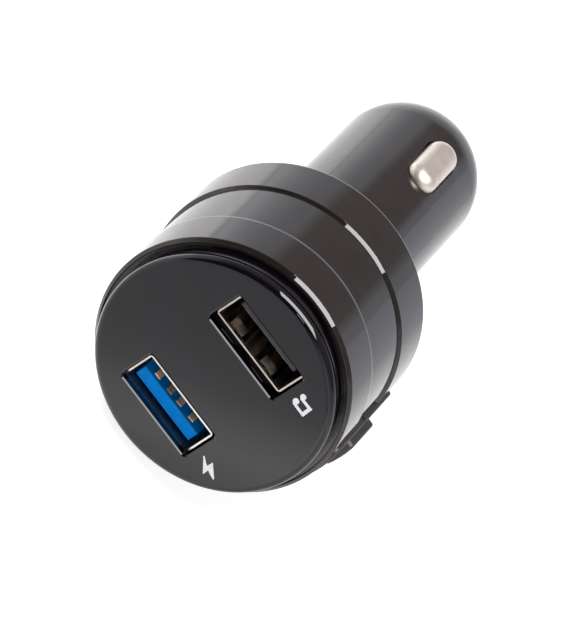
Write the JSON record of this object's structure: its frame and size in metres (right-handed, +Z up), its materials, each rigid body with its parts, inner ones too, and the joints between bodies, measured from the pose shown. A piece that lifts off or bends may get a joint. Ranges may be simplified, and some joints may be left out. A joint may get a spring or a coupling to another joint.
{
  "type": "car fm transmitter",
  "caption": "Plug-in car radio transmitter: round banded head with display panel, charging and music sockets, side keys, and a 12 V plug with sprung centre pin and side contacts.",
  "frame": {"origin": "centre of the front face", "axes": "+Y back along the plug from the face to the pin, +Z up from the charging to the music socket, +X towards the keys"},
  "size_m": [0.0377, 0.0792, 0.036],
  "materials": {
    "head_plastic": "glossy moulded black",
    "panel_plastic": "polished smoked black",
    "key_plastic": "satin moulded black",
    "nickel_plate": "nickel plated",
    "socket_steel": "tinned steel",
    "blue_plastic": "moulded blue",
    "black_plastic": "moulded black",
    "contact_copper": "plated copper alloy",
    "spring_steel": "drawn wire and strip",
    "brass": "turned brass",
    "board_laminate": "solder mask",
    "display_case": "moulded",
    "segment_resin": "milky resin",
    "capacitor_sleeve": "sleeved can",
    "ferrite": "pressed ferrite",
    "chip_epoxy": "moulded epoxy"
  },
  "bodies": {
    "housing": {"head_shell": "head_plastic", "face_panel": "panel_plastic", "plug_barrel": "head_plastic", "pin_spring": "spring_steel", "pin_terminal": "brass", "contact_spring_top": "spring_steel", "contact_spring_bottom": "spring_steel", "switch_front": "black_plastic", "switch_centre": "black_plastic", "switch_rear": "black_plastic", "main_board": "board_laminate", "display_module": "display_case", "display_segments": "segment_resin", "music_socket_shell": "socket_steel", "music_socket_tongue": "black_plastic", "music_socket_contacts": "contact_copper", "charge_socket_shell": "socket_steel", "charge_socket_tongue": "blue_plastic", "charge_socket_contacts": "contact_copper", "capacitor": "capacitor_sleeve", "inductor": "ferrite", "radio_chip": "chip_epoxy", "converter_chip": "chip_epoxy"},
    "pin": {"centre_pin": "nickel_plate"},
    "upper_contact": {"contact_top": "nickel_plate"},
    "lower_contact": {"contact_bottom": "nickel_plate"},
    "front_key": {"key_front": "key_plastic", "stem_front": "black_plastic"},
    "centre_key": {"key_centre": "key_plastic", "stem_centre": "black_plastic"},
    "rear_key": {"key_rear": "key_plastic", "stem_rear": "black_plastic"}
  },
  "joints": [
    {"name": "pin_slide", "type": "slide", "parent": "housing", "child": "pin", "axis": [0, -1, 0], "range_m": [0, 0.0036], "stiffness_N_per_m": 1200, "springref_m": -0.002, "deforming": ["pin_spring"]},
    {"name": "upper_contact_slide", "type": "slide", "parent": "housing", "child": "upper_contact", "axis": [0, 0, -1], "range_m": [0, 0.0017], "stiffness_N_per_m": 2000, "springref_m": -0.001, "deforming": ["contact_spring_top"]},
    {"name": "lower_contact_slide", "type": "slide", "parent": "housing", "child": "lower_contact", "axis": [0, 0, 1], "range_m": [0, 0.0017], "stiffness_N_per_m": 2000, "springref_m": -0.001, "deforming": ["contact_spring_bottom"]},
    {"name": "front_key_press", "type": "slide", "parent": "housing", "child": "front_key", "axis": [-1, 0, 0], "range_m": [0, 0.0004], "stiffness_N_per_m": 4000, "springref_m": -0.0001},
    {"name": "centre_key_press", "type": "slide", "parent": "housing", "child": "centre_key", "axis": [-1, 0, 0], "range_m": [0, 0.0004], "stiffness_N_per_m": 4000, "springref_m": -0.0001},
    {"name": "rear_key_press", "type": "slide", "parent": "housing", "child": "rear_key", "axis": [-1, 0, 0], "range_m": [0, 0.0004], "stiffness_N_per_m": 4000, "springref_m": -0.0001}
  ]
}
